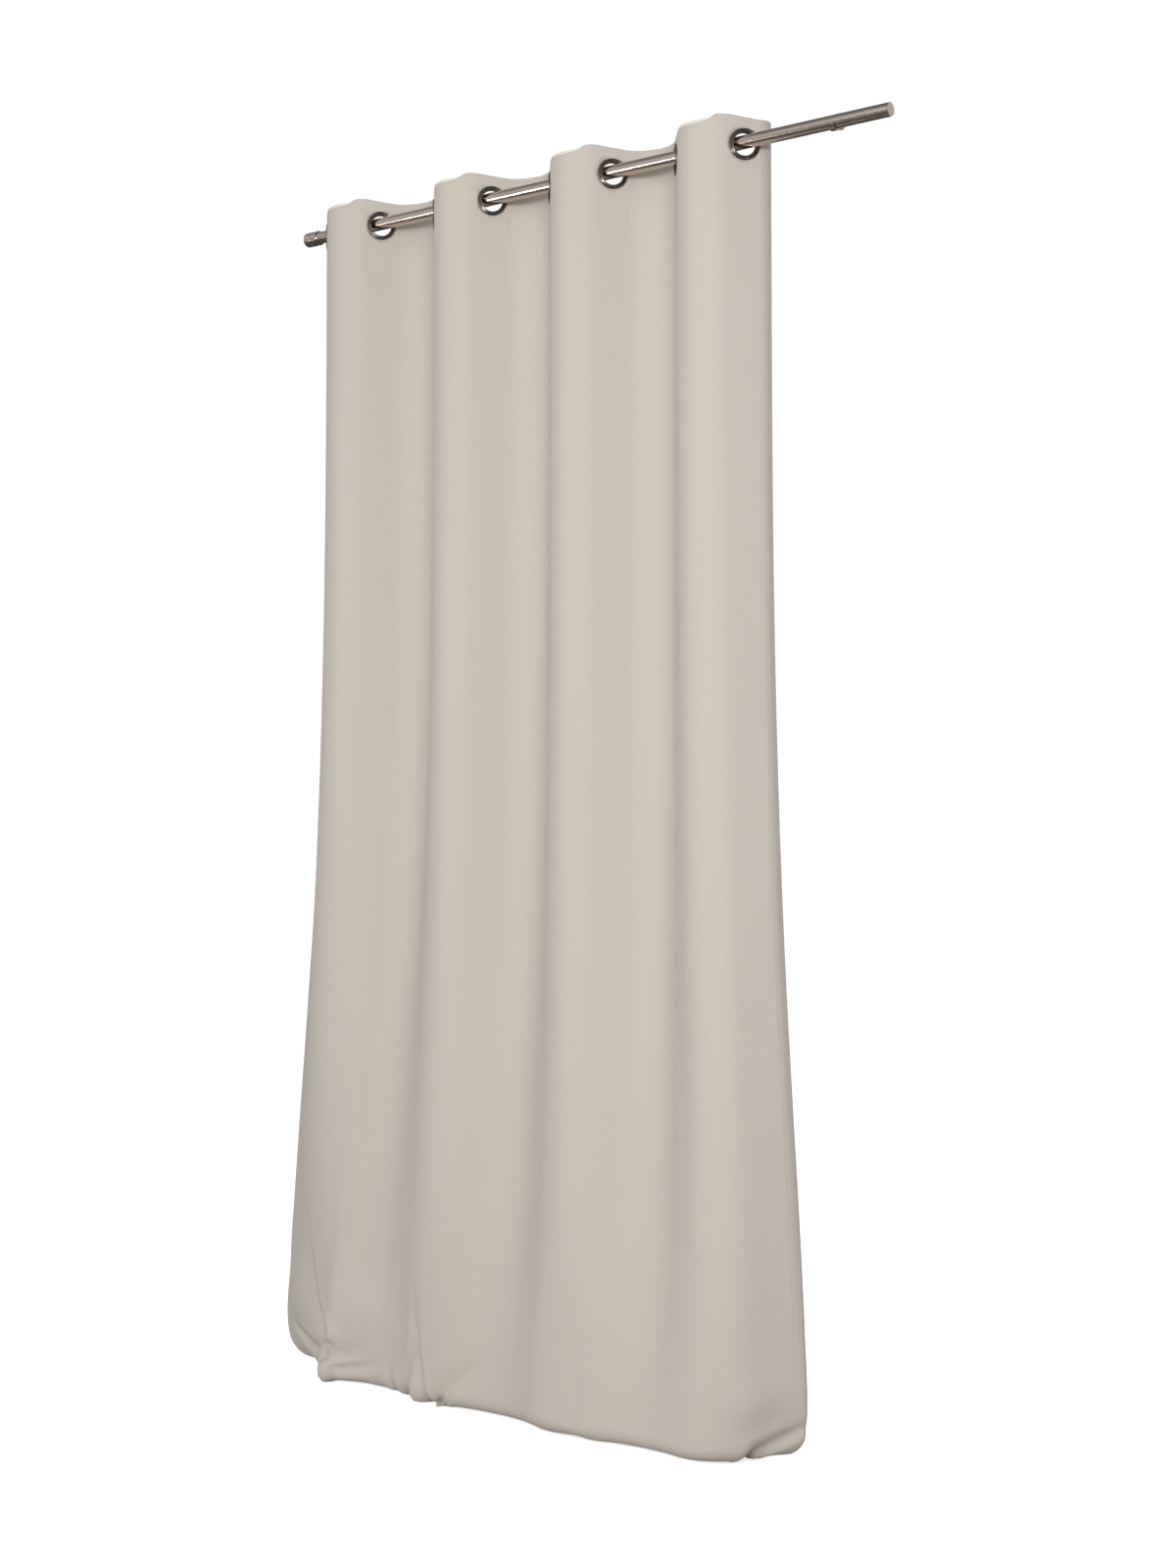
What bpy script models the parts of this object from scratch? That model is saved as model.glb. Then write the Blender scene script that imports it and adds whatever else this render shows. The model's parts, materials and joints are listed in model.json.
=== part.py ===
"""Eyelet curtain on a wall-mounted rod, in metres, +Z up, +X along the rod, +Y into the wall.

The origin is the centre of the left bracket's wall plate, on the wall. The rod hangs in two
brackets. The cloth runs through eight two-part eyelets and hangs in soft S folds to the floor.
The cloth is one piece on the real curtain; here it is split at every fold's crest, so that each
eyelet carries its own stretch of cloth along the rod. Eyelet 1 stays between the left end cap and
the left bracket, and the others slide.
"""

import math

import bmesh
import bpy
import numpy as np
from mathutils import Matrix, Vector

# Driving dimensions
ROD_RADIUS = 0.0125
ROD_WALL = 0.0012
ROD_TO_WALL = 0.120
ROD_TO_FLOOR = 2.400
TOUCH_GAP = 0.0003

EYELETS = 8
EYELET_PITCH = 0.150  # between neighbours along the rod, with the curtain drawn across
EYELET_ANGLE = math.radians(50)  # between the rod and the cloth at an eyelet, seen from above
EYELET_DROP = 0.004  # of an eyelet's centre below the rod's axis
EYELET_FACE = 0.0083  # width of an eyelet's ring
BARREL_WALL = 0.0012
FLANGE_THICK = 0.0026

CLOTH = 0.0012
TAPE = 0.0008
HEADER_ABOVE_ROD = 0.045
HEADER_HEIGHT = 0.100
HEM_HEIGHT = 0.080
HEM_ABOVE_FLOOR = 0.004
FLAT_MARGIN = 0.003  # cloth held straight around an eyelet's ring
SIDE_MARGIN = 0.060  # cloth beyond the first and the last eyelet
LEFT_EDGE = math.radians(-95)  # the cloth's turn from the rod's direction at its left edge
RIGHT_EDGE = math.radians(120)
FOLD_GAP = 0.0008  # between neighbouring stretches of cloth
FLOOR_SHIFT = (-0.067, -0.014)  # of the curtain's middle, from the rod's middle eyelets to the floor
FLOOR_FOLDS = [  # (eyelet, counted from 0, and the cloth's turn there at the floor, in degrees)
    (-0.3, -16),
    (0.3, -26),
    (0.75, -42),
    (1.02, -40),
    (1.16, 22),
    (1.4, 14),
    (1.8, 0),
    (2.3, -17),
    (3.1, 12),
    (4.1, -20),
    (5.0, 16),
    (5.9, -12),
    (6.5, 38),
    (6.75, 56),
    (7.3, 46),
]

BRACKET_CLEARANCE = 0.0025  # between the first eyelet's ring and the left cradle
BRACKET_PAST_LAST = 0.190  # right bracket, beyond the last eyelet
PLATE_LENGTH = 0.070
PLATE_HEIGHT = 0.024
PLATE_THICK = 0.005
PLATE_ABOVE_ROD = 0.044
ARM_ABOVE_ROD = 0.012  # where the arm meets the cradle
ARM_RADIUS = 0.0045
ARM_IN_PLATE = 0.0015
ARM_IN_CRADLE = 0.0075
CRADLE_WIDTH = 0.012
CRADLE_WALL = 0.0025
CRADLE_BLOCK = 0.0095  # from the rod's back to the cradle's flat face
CRADLE_EDGE = 0.002  # left above the arm and below the clamp screw
LIP_BELOW_AXIS = 0.006  # top of the cradle's front lip, below the rod's axis
LIP_FROM_AXIS = 0.001  # the lip is cut off in front of this
SCREW_FROM_END = 0.011
SCREW_TIP = 0.004
SCREW_LENGTH = 0.034
SCREW_SHANK = 0.0020
SCREW_HEAD = 0.0042
RECESS_WIDTH = 0.0009
RECESS_DEPTH = 0.0015
CLAMP_BELOW_ROD = 0.003
CLAMP_SHANK = 0.0020
CLAMP_HEAD = 0.0040
CLAMP_HEAD_LENGTH = 0.007
CHAMFER = 0.0005

CAP_LIP = 0.0025  # the cap's radius beyond the rod's
CAP_ROUND = 0.003
CAP_LENGTH = 0.035
CAP_GROOVE_FROM_END = 0.020
CAP_GROOVE = 0.0015
CAP_CLEARANCE = 0.0055  # between the first eyelet's ring and the cap
SPIGOT_LENGTH = 0.018
TUBE_PAST_BRACKET = 0.112
PLUG_FLANGE = 0.002

ROUND = 40  # sides of a turned piece
RING_SIDES = 20
CREST_STEPS = 4  # stretches that a fold's crest is divided in
DROP_ROWS = 3  # rows of the cloth's mesh between its header and its hem
DRAPE_STEP = 0.001

# Worked out from them
ROD_Y = -ROD_TO_WALL
ROD_Z = -PLATE_ABOVE_ROD
FLOOR_Z = ROD_Z - ROD_TO_FLOOR
POCKET_HALF = TAPE / 2 + TOUCH_GAP  # half the room between the header's two layers
HEADER_HALF = POCKET_HALF + CLOTH
FLANGE_FACE = HEADER_HALF + TOUCH_GAP
EYELET_HALF = FLANGE_FACE + FLANGE_THICK  # half an eyelet's thickness
# The rod passes an eyelet on the slant and above its centre, and just clears its bore.
SLANTED_ROD = ROD_RADIUS / math.sin(EYELET_ANGLE) + EYELET_HALF / math.tan(EYELET_ANGLE)
EYELET_BORE = math.hypot(SLANTED_ROD, EYELET_DROP)
EYELET_RIM = EYELET_BORE + EYELET_FACE
BARREL_OUT = EYELET_BORE + BARREL_WALL
EYELET_HOLE = BARREL_OUT + TOUCH_GAP
RING_REACH = EYELET_RIM * math.cos(EYELET_ANGLE) + EYELET_HALF * math.sin(EYELET_ANGLE)
FIRST_EYELET_X = -(RING_REACH + BRACKET_CLEARANCE + CRADLE_WIDTH / 2)
LAST_EYELET_X = FIRST_EYELET_X + EYELET_PITCH * (EYELETS - 1)
CENTRE_X = (FIRST_EYELET_X + LAST_EYELET_X) / 2
BRACKET_SPAN = LAST_EYELET_X + BRACKET_PAST_LAST
TUBE_LEFT = FIRST_EYELET_X - RING_REACH - CAP_CLEARANCE
TUBE_RIGHT = BRACKET_SPAN + TUBE_PAST_BRACKET
CRADLE_BACK = ROD_RADIUS + CRADLE_BLOCK
SCREW_SPACING = PLATE_LENGTH - 2 * SCREW_FROM_END
CAP_RADIUS = ROD_RADIUS + CAP_LIP
FLAT_HALF = EYELET_RIM + FLAT_MARGIN
CREST_RADIUS = (EYELET_PITCH / 2 - FLAT_HALF * math.cos(EYELET_ANGLE)) / math.sin(EYELET_ANGLE)
HALF_FOLD = FLAT_HALF + CREST_RADIUS * EYELET_ANGLE  # cloth from an eyelet to the next crest
FOLD_DEPTH = FLAT_HALF * math.sin(EYELET_ANGLE) + CREST_RADIUS * (1 - math.cos(EYELET_ANGLE))
HEADER_TOP = ROD_Z + HEADER_ABOVE_ROD
HEADER_BOTTOM = HEADER_TOP - HEADER_HEIGHT
HEM_BOTTOM = FLOOR_Z + HEM_ABOVE_FLOOR


def clear_scene():
    for thing in list(bpy.data.objects):
        bpy.data.objects.remove(thing, do_unlink=True)


def collection(name):
    made = bpy.data.collections.new(name)
    bpy.context.scene.collection.children.link(made)
    return made


def linear(hex_colour):
    """A colour written as sRGB hex, as Blender's linear RGBA."""
    parts = [int(hex_colour[i : i + 2], 16) / 255 for i in (1, 3, 5)]
    return [c / 12.92 if c <= 0.04045 else ((c + 0.055) / 1.055) ** 2.4 for c in parts] + [1.0]


def material(name, hex_colour, roughness, metallic):
    made = bpy.data.materials.new(name)
    made.use_nodes = True
    shader = made.node_tree.nodes["Principled BSDF"]
    shader.inputs["Base Color"].default_value = linear(hex_colour)
    shader.inputs["Roughness"].default_value = roughness
    shader.inputs["Metallic"].default_value = metallic
    return made


clear_scene()
PARTS = collection("eyelet_curtain")
CUTTERS = collection("cutters")
BRUSHED_STEEL = material("brushed_steel", "#B9B3AA", 0.32, 1.0)
DARK_NICKEL = material("polished_dark_nickel", "#6E6862", 0.15, 1.0)
ZINC = material("zinc_plated_screw", "#A9ABA8", 0.35, 1.0)
CURTAIN_CLOTH = material("curtain_cloth", "#CBC1B6", 0.9, 0.0)
BUCKRAM = material("header_buckram", "#E6E1D6", 0.85, 0.0)


def add(name, mesh, finish=None, smooth=True, matrix=None):
    """Puts a mesh in the scene, as a part if it has a finish and as a cutter if it hasn't."""
    thing = bpy.data.objects.new(name, mesh)
    (PARTS if finish else CUTTERS).objects.link(thing)
    if matrix is not None:
        thing.matrix_world = matrix
    if finish:
        mesh.materials.append(finish)
        if smooth:
            mesh.shade_smooth()
            mesh.set_sharp_from_angle(angle=math.radians(35))
    else:
        thing.hide_render = True
        thing.display_type = "WIRE"
    return thing


def mesh_from(bm, name):
    """The closed mesh, turned inside out if its faces all point in."""
    if bm.calc_volume(signed=True) < 0:
        bmesh.ops.reverse_faces(bm, faces=bm.faces)
    mesh = bpy.data.meshes.new(name)
    bm.to_mesh(mesh)
    bm.free()
    return mesh


def cylinder(name, radius, length, sides=ROUND):
    """A closed cylinder along Z, with its middle at the origin."""
    bm = bmesh.new()
    bmesh.ops.create_cone(
        bm, cap_ends=True, segments=sides, radius1=radius, radius2=radius, depth=length
    )
    return mesh_from(bm, name)


def block(name, size, centre=(0, 0, 0)):
    bm = bmesh.new()
    bmesh.ops.create_cube(bm, size=1)
    bmesh.ops.scale(bm, vec=size, verts=bm.verts)
    bmesh.ops.translate(bm, vec=centre, verts=bm.verts)
    return mesh_from(bm, name)


def stadium(name, length, height, thick, steps=6):
    """A plate in X and Z with half-round ends, from y = -thick to y = 0."""
    bm = bmesh.new()
    bmesh.ops.create_cube(bm, size=1)
    bmesh.ops.scale(bm, vec=(length, thick, height), verts=bm.verts)
    bmesh.ops.translate(bm, vec=(0, -thick / 2, 0), verts=bm.verts)
    along_y = [e for e in bm.edges if abs(e.verts[0].co.y - e.verts[1].co.y) > thick / 2]
    bmesh.ops.bevel(
        bm, geom=along_y, offset=height * 0.499, segments=steps, profile=0.5, affect="EDGES"
    )
    return mesh_from(bm, name)


def turned(name, outline, sides=ROUND, closed=False):
    """A mesh turned about Z from an outline of (radius, height) points, top to bottom."""
    bm = bmesh.new()
    points = [bm.verts.new((radius, 0, height)) for radius, height in outline]
    for here, after in zip(points, points[1:]):
        bm.edges.new((here, after))
    if closed:
        bm.edges.new((points[-1], points[0]))
    bmesh.ops.spin(
        bm,
        geom=bm.verts[:] + bm.edges[:],
        cent=(0, 0, 0),
        axis=(0, 0, 1),
        angle=math.tau,
        steps=sides,
        use_duplicate=False,
    )
    bmesh.ops.remove_doubles(bm, verts=bm.verts, dist=1e-6)
    return mesh_from(bm, name)


def boolean(target, cutter, operation="DIFFERENCE"):
    modifier = target.modifiers.new(f"{operation.lower()} {cutter.name}", "BOOLEAN")
    modifier.operation = operation
    modifier.solver = "EXACT"
    modifier.object = cutter


def facing(point, axis, across=(0, 0, 1)):
    """A placement whose local Z lies along axis, and whose local X is as near as it can be to across."""
    z = Vector(axis).normalized()
    x = Vector(across)
    x = (x - z * x.dot(z)).normalized()
    y = z.cross(x)
    turn = Matrix((x, y, z)).transposed().to_4x4()
    return Matrix.Translation(point) @ turn


# The rod


def rod():
    """A drawn steel tube, open at both ends."""
    length = TUBE_RIGHT - TUBE_LEFT
    middle = ((TUBE_LEFT + TUBE_RIGHT) / 2, ROD_Y, ROD_Z)
    placed = facing(middle, (1, 0, 0))
    tube = add("rod_tube", cylinder("rod_tube", ROD_RADIUS, length), BRUSHED_STEEL, matrix=placed)
    bore = cylinder("rod_bore", ROD_RADIUS - ROD_WALL, length * 1.1)
    boolean(tube, add("rod_bore", bore, matrix=placed))


def end_cap():
    """The left cap: a turned barrel with a groove, on a spigot that plugs the tube."""
    spigot = ROD_RADIUS - ROD_WALL - TOUCH_GAP
    groove = CAP_LENGTH - CAP_GROOVE_FROM_END
    quarter = [math.radians(a) for a in (90, 60, 30, 0)]
    end_round = [
        (
            CAP_RADIUS - CAP_ROUND + CAP_ROUND * math.cos(a),
            CAP_LENGTH - CAP_ROUND + CAP_ROUND * math.sin(a),
        )
        for a in quarter
    ]
    outline = [
        (0, CAP_LENGTH),
        *end_round,
        (CAP_RADIUS, groove + CAP_GROOVE),
        (CAP_RADIUS - CAP_GROOVE, groove + CAP_GROOVE / 2),
        (CAP_RADIUS, groove),
        (CAP_RADIUS, 0),
        (spigot, 0),
        (spigot, -SPIGOT_LENGTH),
        (0, -SPIGOT_LENGTH),
    ]
    at = facing((TUBE_LEFT - TOUCH_GAP, ROD_Y, ROD_Z), (-1, 0, 0))
    add("end_cap_left", turned("end_cap_left", outline), BRUSHED_STEEL, matrix=at)


def end_plug():
    """The right end's plug: a flat disc, flush with the tube, on the same spigot."""
    spigot = ROD_RADIUS - ROD_WALL - TOUCH_GAP
    outline = [
        (0, PLUG_FLANGE),
        (ROD_RADIUS - CHAMFER, PLUG_FLANGE),
        (ROD_RADIUS, PLUG_FLANGE - CHAMFER),
        (ROD_RADIUS, 0),
        (spigot, 0),
        (spigot, -SPIGOT_LENGTH),
        (0, -SPIGOT_LENGTH),
    ]
    at = facing((TUBE_RIGHT + TOUCH_GAP, ROD_Y, ROD_Z), (1, 0, 0))
    add("end_plug_right", turned("end_plug_right", outline), BRUSHED_STEEL, matrix=at)


# A bracket: wall plate, arm, cradle, clamp screw and two wall screws


def arm_piece(name, x, radius, longer):
    """A straight bar from the plate's seat down to the cradle's socket: (mesh, placement)."""
    at_plate = Vector((x, -PLATE_THICK, 0))
    at_cradle = Vector((x, ROD_Y + CRADLE_BACK, ROD_Z + ARM_ABOVE_ROD))
    slope = (at_cradle - at_plate).normalized()
    start = at_plate - slope * (ARM_IN_PLATE + longer)
    end = at_cradle + slope * (ARM_IN_CRADLE + longer)
    mesh = cylinder(name, radius, (end - start).length, 28)
    return mesh, facing((start + end) / 2, slope, (1, 0, 0))


def wall_plate(side, x):
    """A flat plate with a seat for the arm and two countersunk screw holes."""
    at = Matrix.Translation((x, 0, 0))
    mesh = stadium(f"wall_plate_{side}", PLATE_LENGTH, PLATE_HEIGHT, PLATE_THICK)
    plate = add(f"wall_plate_{side}", mesh, BRUSHED_STEEL, matrix=at)
    seat = f"plate_seat_{side}"
    mesh, place = arm_piece(seat, x, ARM_RADIUS + TOUCH_GAP, TOUCH_GAP)
    boolean(plate, add(seat, mesh, matrix=place))
    for hand, along in (("l", -SCREW_SPACING / 2), ("r", SCREW_SPACING / 2)):
        sink = [(radius + TOUCH_GAP, height) for radius, height in screw_outline()[1:3]]
        outline = [
            (0, PLATE_THICK),
            (sink[0][0], PLATE_THICK),
            sink[0],
            sink[1],
            (sink[1][0], -PLATE_THICK * 2),
            (0, -PLATE_THICK * 2),
        ]
        name = f"countersink_{side}_{hand}"
        place = facing((x + along, -PLATE_THICK, 0), (0, -1, 0))
        boolean(plate, add(name, turned(name, outline, 24), matrix=place))


def screw_outline():
    """A countersunk screw, its flat head at height 0 and its shank below."""
    cone = SCREW_HEAD - SCREW_SHANK
    return [
        (0, 0),
        (SCREW_HEAD, 0),
        (SCREW_SHANK, -cone),
        (SCREW_SHANK, SCREW_TIP - SCREW_LENGTH),
        (SCREW_SHANK / 5, -SCREW_LENGTH),
        (0, -SCREW_LENGTH),
    ]


def wall_screws(side, x):
    """Two screws through the plate into the wall, each with a cross recess."""
    for hand, along in (("l", -SCREW_SPACING / 2), ("r", SCREW_SPACING / 2)):
        name = f"wall_screw_{side}_{hand}"
        place = facing((x + along, -PLATE_THICK, 0), (0, -1, 0))
        screw = add(name, turned(name, screw_outline(), 24), ZINC, matrix=place)
        for slot, size in (("a", (SCREW_HEAD, RECESS_WIDTH)), ("b", (RECESS_WIDTH, SCREW_HEAD))):
            recess = f"{name}_recess_{slot}"
            cutter = block(recess, (*size, 2 * RECESS_DEPTH))
            boolean(screw, add(recess, cutter, matrix=place))


def arm(side, x):
    """A straight round bar that slopes from the plate down to the cradle, set in both."""
    mesh, place = arm_piece(f"bracket_arm_{side}", x, ARM_RADIUS, 0)
    add(f"bracket_arm_{side}", mesh, BRUSHED_STEEL, matrix=place)


def cradle(side, x):
    """A saddle that holds the rod from behind and below, open at the top so the rod lifts out."""
    outer = ROD_RADIUS + TOUCH_GAP + CRADLE_WALL
    inner = ROD_RADIUS + TOUCH_GAP
    axis = Matrix.Translation((x, ROD_Y, ROD_Z))
    along_rod = facing((x, ROD_Y, ROD_Z), (1, 0, 0))
    name = f"rod_cradle_{side}"
    shell = add(name, cylinder(name, outer, CRADLE_WIDTH), BRUSHED_STEEL, matrix=along_rod)
    top = ARM_ABOVE_ROD + ARM_RADIUS + CRADLE_EDGE
    bottom = -CLAMP_BELOW_ROD - CLAMP_HEAD - CRADLE_EDGE
    back = block(
        f"{name}_back",
        (CRADLE_WIDTH, CRADLE_BACK, top - bottom),
        (0, CRADLE_BACK / 2, (top + bottom) / 2),
    )
    boolean(shell, add(f"{name}_back", back, matrix=axis), "UNION")
    bore = cylinder(f"{name}_bore", inner, CRADLE_WIDTH * 2)
    boolean(shell, add(f"{name}_bore", bore, matrix=along_rod))
    wide = CRADLE_WIDTH * 2
    tall = 2 * (top + outer)
    mouth = block(f"{name}_mouth", (wide, 2 * inner, tall), (0, 0, tall / 2))
    boolean(shell, add(f"{name}_mouth", mouth, matrix=axis))
    deep = 2 * outer
    lip = block(
        f"{name}_lip",
        (wide, deep, tall),
        (0, -deep / 2 - LIP_FROM_AXIS, tall / 2 - LIP_BELOW_AXIS),
    )
    boolean(shell, add(f"{name}_lip", lip, matrix=axis))
    mesh, place = arm_piece(f"{name}_socket", x, ARM_RADIUS + TOUCH_GAP, TOUCH_GAP)
    boolean(shell, add(f"{name}_socket", mesh, matrix=place))
    hole = cylinder(f"{name}_clamp_hole", CLAMP_SHANK + TOUCH_GAP, CRADLE_BACK, 20)
    at = facing((x, ROD_Y + CRADLE_BACK, ROD_Z - CLAMP_BELOW_ROD), (0, -1, 0))
    boolean(shell, add(f"{name}_clamp_hole", hole, matrix=at))


def clamp_screw(side, x):
    """A thumb screw that holds the rod down in its cradle, turned by its ribbed head."""
    tip = CRADLE_BACK - ROD_RADIUS - TOUCH_GAP
    under_head = -TOUCH_GAP
    head = under_head - CLAMP_HEAD_LENGTH
    outline = [
        (0, tip),
        (CLAMP_SHANK, tip),
        (CLAMP_SHANK, under_head),
        (CLAMP_HEAD - CHAMFER, under_head),
        (CLAMP_HEAD, under_head - CHAMFER),
        (CLAMP_HEAD, head + CHAMFER),
        (CLAMP_HEAD - CHAMFER, head),
        (0, head),
    ]
    place = facing((x, ROD_Y + CRADLE_BACK, ROD_Z - CLAMP_BELOW_ROD), (0, -1, 0))
    name = f"clamp_screw_{side}"
    add(name, turned(name, outline, 20), DARK_NICKEL, matrix=place)


# The cloth


def header_turn(place):
    """The cloth's turn from the rod's direction at the header, in radians, by eyelet.

    place counts eyelets from the first one, so 2.5 is the crest between the third and the fourth.
    The cloth is straight across each eyelet and bends evenly from one to the next. Beyond the end
    eyelets its side hems turn back towards the wall.
    """
    straight = FLAT_HALF / (2 * HALF_FOLD)
    edge = SIDE_MARGIN / (2 * HALF_FOLD)
    knots = [(-edge, LEFT_EDGE)]
    for number in range(EYELETS):
        turn = EYELET_ANGLE if number % 2 else -EYELET_ANGLE
        knots += [(number - straight, turn), (number + straight, turn)]
    knots.append((EYELETS - 1 + edge, RIGHT_EDGE))
    return np.interp(place, *zip(*knots))


def floor_turn(place):
    """The same at the floor, where the folds are shallow and both sides swing back."""
    knots = [(number, math.radians(turn)) for number, turn in FLOOR_FOLDS]
    return np.interp(place, *zip(*knots))


def drape(fall):
    """The cloth's line seen from above: (lengths along the cloth, x, y, turn).

    fall is 0 at the header's bottom edge and 1 at the hem. The line keeps the cloth's length at
    every height, because it is drawn by following the cloth's turn along it.
    """
    length = (EYELETS - 1) * 2 * HALF_FOLD + 2 * SIDE_MARGIN
    steps = int(round(length / DRAPE_STEP))
    along = np.linspace(0, length, steps + 1)
    middles = (along[1:] + along[:-1]) / 2
    soften = 0.04 * fall + 0.96 * fall**3.4
    places = [(where - SIDE_MARGIN) / (2 * HALF_FOLD) for where in (middles, along)]
    turns = [header_turn(p) * (1 - soften) + floor_turn(p) * soften for p in places]
    step = length / steps
    x = np.concatenate([[0], np.cumsum(np.cos(turns[0]) * step)])
    y = np.concatenate([[0], np.cumsum(np.sin(turns[0]) * step)])
    centre = length / 2
    crest = (CENTRE_X, ROD_Y + FOLD_DEPTH)  # the middle of the header is a back crest
    at_floor = (CENTRE_X + FLOOR_SHIFT[0], ROD_Y + FLOOR_SHIFT[1])
    x += crest[0] * (1 - soften) + at_floor[0] * soften - np.interp(centre, along, x)
    y += crest[1] * (1 - soften) + at_floor[1] * soften - np.interp(centre, along, y)
    return along, x, y, turns[1]


LINES = {}  # the drape's lines that are worked out already, by height


def cloth_point(number, from_eyelet, out, height):
    """A point of the cloth: out is towards the room from the middle of its thickness."""
    if height not in LINES:
        LINES[height] = drape(max(0.0, (HEADER_BOTTOM - height) / (HEADER_BOTTOM - HEM_BOTTOM)))
    along, x, y, turn = LINES[height]
    at = SIDE_MARGIN + 2 * HALF_FOLD * (number - 1) + from_eyelet
    x, y, turn = (float(np.interp(at, along, values)) for values in (x, y, turn))
    return x + out * math.sin(turn), y - out * math.cos(turn), height


def reach(number):
    """How far the stretch of cloth goes from its eyelet, to the left and to the right."""
    left = SIDE_MARGIN if number == 1 else HALF_FOLD - FOLD_GAP / 2
    right = SIDE_MARGIN if number == EYELETS else HALF_FOLD - FOLD_GAP / 2
    return left, right


def stations(number):
    """Where the cloth's section is repeated along it: straight at the eyelet, close at the crests."""
    left, right = reach(number)
    leftward = [-left + (left - FLAT_HALF) * i / CREST_STEPS for i in range(CREST_STEPS + 1)]
    rightward = [right - (right - FLAT_HALF) * i / CREST_STEPS for i in range(CREST_STEPS + 1)]
    return leftward + rightward[::-1]


def swept(name, number, section, cells):
    """A closed solid with one outline of (out, height) points, repeated along the cloth.

    Each end is closed by cells, which are convex pieces of the outline. The cloth twists a little
    as it falls, so its sides are split the same way on both faces: from low here to high there.
    """
    bm = bmesh.new()
    rows = [
        [bm.verts.new(cloth_point(number, along, out, height)) for out, height in section]
        for along in stations(number)
    ]
    count = len(section)
    for row, after in zip(rows, rows[1:]):
        for i in range(count):
            j = (i + 1) % count
            if section[i][1] <= section[j][1]:
                bm.faces.new((row[i], row[j], after[j]))
                bm.faces.new((row[i], after[j], after[i]))
            else:
                bm.faces.new((row[i], row[j], after[i]))
                bm.faces.new((row[j], after[j], after[i]))
    for cell in cells:
        bm.faces.new([rows[0][i] for i in reversed(cell)])
        bm.faces.new([rows[-1][i] for i in cell])
    return mesh_from(bm, name)


def eyelet_place(number):
    """The eyelet's placement: its axis points to the room, square to the cloth."""
    to_front = 1 if number % 2 else -1
    x = FIRST_EYELET_X + EYELET_PITCH * (number - 1)
    axis = (-to_front * math.sin(EYELET_ANGLE), -math.cos(EYELET_ANGLE), 0)
    return facing((x, ROD_Y, ROD_Z - EYELET_DROP), axis)


def fold(number):
    """One stretch of the curtain, with a header turned over at the top and a hem at the floor."""
    hem_top = HEM_BOTTOM + HEM_HEIGHT
    hem_back = POCKET_HALF - CLOTH
    fall = HEADER_BOTTOM - hem_top
    middles = [hem_top + fall * (i + 1) / (DROP_ROWS + 1) for i in range(DROP_ROWS)]
    front = [HEM_BOTTOM, hem_top, *middles, HEADER_BOTTOM, HEADER_TOP]
    back = [HEADER_TOP - CLOTH, HEADER_BOTTOM, *middles[::-1], hem_top]
    turned_over = [
        (-HEADER_HALF, HEADER_TOP),
        (-HEADER_HALF, HEADER_BOTTOM),
        (-POCKET_HALF, HEADER_BOTTOM),
        (-POCKET_HALF, HEADER_TOP - CLOTH),
    ]
    hem = [(hem_back, hem_top), (hem_back, HEM_BOTTOM)]
    section = [(HEADER_HALF, z) for z in front] + turned_over + [(POCKET_HALF, z) for z in back] + hem
    top = len(front) - 1
    last = len(section) - 1
    cells = [(0, 1, last - 2, last - 1, last)]
    cells += [(i, i + 1, last - 2 - i, last - 1 - i) for i in range(1, top)]
    cells += [(top, top + 1, top + 4, top + 5), (top + 1, top + 2, top + 3, top + 4)]
    name = f"curtain_fold_{number}"
    cloth = add(name, swept(name, number, section, cells), CURTAIN_CLOTH)
    cut_eyelet_hole(cloth, number)


def header_tape(number):
    """The stiff tape inside the header, between its two layers."""
    inset = 0.002
    top = HEADER_TOP - CLOTH - inset
    bottom = HEADER_BOTTOM + inset
    section = [(TAPE / 2, bottom), (TAPE / 2, top), (-TAPE / 2, top), (-TAPE / 2, bottom)]
    name = f"header_tape_{number}"
    tape = add(name, swept(name, number, section, [(0, 1, 2, 3)]), BUCKRAM)
    cut_eyelet_hole(tape, number)


def cut_eyelet_hole(cloth, number):
    name = f"{cloth.name}_hole"
    mesh = cylinder(name, EYELET_HOLE, 0.02, RING_SIDES)
    boolean(cloth, add(name, mesh, matrix=eyelet_place(number)))


# The eyelets


def flange(side):
    """The rounded rim's outline on one face of the cloth, from the rim in to the bore's mouth."""
    face = FLANGE_FACE
    crown = FLANGE_FACE + FLANGE_THICK
    points = [
        (EYELET_RIM, face),
        (EYELET_RIM - 0.0006, face + FLANGE_THICK * 0.55),
        (EYELET_RIM - 0.0026, crown - 0.0003),
        (EYELET_BORE + 0.0030, crown),
    ]
    return [(radius, side * height) for radius, height in points]


def eyelet_front():
    """The front half: a rim, and a barrel that goes through the cloth and the back half."""
    crown = FLANGE_FACE + FLANGE_THICK
    mouth = [
        (EYELET_BORE + 0.0009, crown - 0.0007),
        (EYELET_BORE, crown - 0.0024),
        (EYELET_BORE, -crown + 0.0012),
        (EYELET_BORE + 0.0004, -crown + 0.0006),
        (BARREL_OUT, -crown + 0.0006),
        (BARREL_OUT, FLANGE_FACE),
    ]
    return turned("eyelet_front", flange(1) + mouth, RING_SIDES, closed=True)


def eyelet_back():
    """The back half: a rim that snaps over the barrel."""
    bore = BARREL_OUT + TOUCH_GAP
    outline = [*flange(-1), (bore, -FLANGE_FACE - FLANGE_THICK + 0.0004), (bore, -FLANGE_FACE)]
    return turned("eyelet_back", outline, RING_SIDES, closed=True)


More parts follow.
